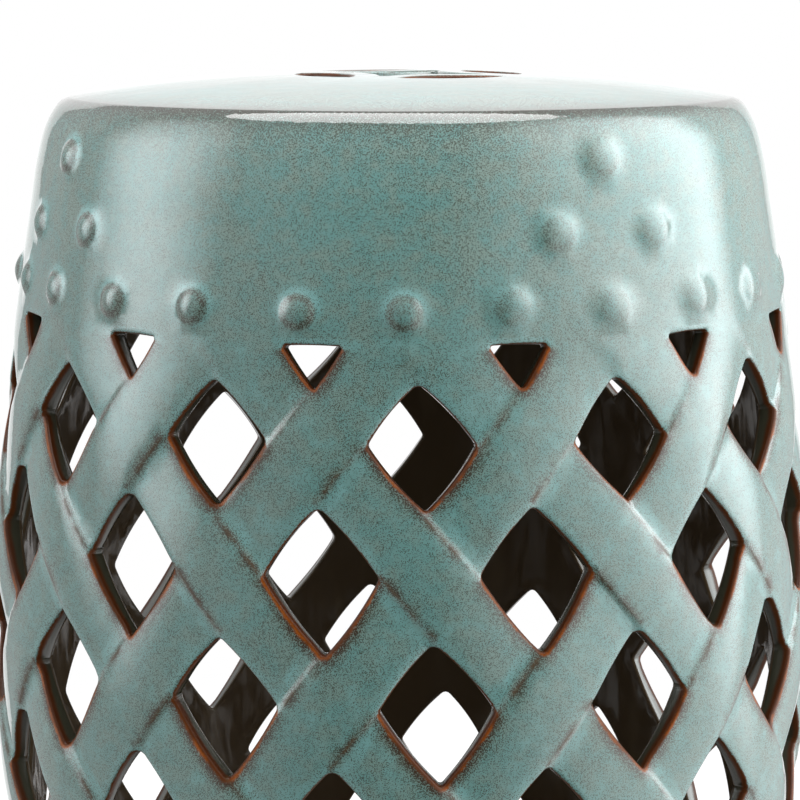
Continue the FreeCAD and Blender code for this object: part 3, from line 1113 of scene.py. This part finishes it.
# Studio
# A pale floor that runs out to white, soft boxes on both sides and overhead, and a white
# backdrop behind the stool, which the glaze shows as a bright line down its outlines.
scene = bpy.context.scene
world = bpy.data.worlds.new("studio")
scene.world = world
sky = Finish("studio", world)
direction = sky.node("ShaderNodeTexCoord", output="Generated")
rightward = sky.node("ShaderNodeSeparateXYZ", {}, {0: direction}, "X")
backward, upward = sky.also(rightward, "Y"), sky.also(rightward, "Z")
sky_light = 0.03 + sky.ramp(backward, -0.9, 0.5) * 0.16
sky_light = sky_light + sky.ramp(rightward, 0.12, 0.95) * (2.6 - sky.ramp(backward, 0.2, 0.8) * 0.9)
sky_light = sky_light + sky.ramp(rightward, -0.1, -0.95) * 0.82 + sky.ramp(upward, 0.0, 0.9) * 0.95
seen = sky.node("ShaderNodeLightPath", output="Is Camera Ray")
sky.set(Color=(1.0, 1.0, 1.0), Strength=sky_light * (1 - seen) + seen)


def panel(name, corners, material):
    mesh = bpy.data.meshes.new(name)
    mesh.from_pydata(corners, [], [tuple(range(len(corners)))])
    obj = placed(name, mesh)
    obj.data.materials.append(material)
    return obj


def make_backdrop():
    """White glow behind the stool that only the glaze's reflections see; it is brighter higher up."""
    f = Finish("backdrop white")
    f.glow(f.ramp(f.along("Z"), 0.7, 1.5) * 0.5 + 1.22)
    return f.material


def make_floor():
    """Matt floor that looks white, bounces little light, and turns to plain white further out."""
    f = Finish("studio floor")
    seen = f.node("ShaderNodeLightPath", output="Is Camera Ray")
    f.set(Base_Color=f.blend(seen, (0.3, 0.3, 0.3), (0.82, 0.82, 0.82)), Roughness=0.9)
    distance = f.node("ShaderNodeVectorMath", {"operation": "LENGTH"}, {0: f.place()}, "Value")
    f.show_mixed(f.ramp(distance, 0.3, 0.8) * seen, f.node("ShaderNodeEmission"))
    return f.material


panel_distance = 1.7
panel_height = 0.3


def glow_panel(name, direction, aside, half_size, strength, slant=0.0, cut=None):
    """Softly edged glowing oval that faces the stool from an azimuth and elevation in degrees.

    Azimuth 0 is the front, 90 the right. The oval sits aside of that direction and may slant. A screen
    may cut it off to its right.
    """
    azimuth, elevation = direction
    half_width, half_height = half_size
    f = Finish(name)
    x = f.along("X")
    y = f.also(x, "Y")
    flat = f.node("ShaderNodeCombineXYZ", {}, {0: (x + y * slant) / half_width, 1: y / half_height})
    share = f.ramp(f.node("ShaderNodeVectorMath", {"operation": "LENGTH"}, {0: flat}, "Value"), 1, 0.05)
    if cut is not None:
        share = share * f.ramp(x, cut + 0.3, cut - 0.3)
    glow = f.node("ShaderNodeEmission", {}, {"Color": (0.92, 1.0, 1.02), "Strength": share * strength})
    f.show(f.node("ShaderNodeAddShader", {}, {0: glow, 1: f.node("ShaderNodeBsdfTransparent")}))
    w, h = half_width + slant * half_height, half_height
    obj = panel(name, [(-w, -h, 0), (w, -h, 0), (w, h, 0), (-w, h, 0)], f.material)
    a, e = math.radians(azimuth), math.radians(elevation)
    way = np.array([math.sin(a) * math.cos(e), -math.cos(a) * math.cos(e), math.sin(e)])
    sideways = np.array([math.cos(a), math.sin(a), 0])
    obj.location = way * panel_distance + [0, 0, panel_height] + sideways * aside
    obj.rotation_euler = (math.pi / 2 - e, 0, a)
    obj.visible_camera = False
    obj.visible_diffuse = False
    return obj


floor = panel("floor", [(-6, -6, 0), (6, -6, 0), (6, 6, 0), (-6, 6, 0)], make_floor())
floor.visible_glossy = False
backdrop_corners = [(-1.3, 2.0, -0.9), (1.12, 2.0, -0.9), (1.12, 2.0, 1.55), (-1.3, 2.0, 1.55)]
backdrop = panel("backdrop", backdrop_corners, make_backdrop())
backdrop.visible_camera = False
glow_panel("left glow", (-79.5, 18), 0.0, (0.94, 1.3), 5.45)
glow_panel("right glow", (83, 18), 0.8, (2.4, 2.0), 6.4, slant=0.55, cut=0.0)
softbox = Finish("softbox glow")
softbox.glow(8.2)
turns = np.arange(48) * math.pi / 24
softbox_height = 1.85
oval = [(0.84 * math.cos(turn) - 0.06, 0.70 * math.sin(turn), softbox_height) for turn in turns]
overhead = panel("overhead softbox", oval, softbox.material)
overhead.visible_camera = False
overhead.visible_diffuse = False

camera_down = math.radians(8.58)
camera_data = bpy.data.cameras.new("camera")
camera_data.lens = 130.72
camera_data.sensor_width = 36.0
camera_data.shift_x = -0.0009
camera = placed("camera", camera_data)
camera.location = (0, -1.1717, 0.4899)
camera.rotation_euler = (math.pi / 2 - camera_down, 0, 0)
scene.camera = camera
scene.render.resolution_x = 800
scene.render.resolution_y = 800
scene.view_settings.view_transform = "Standard"
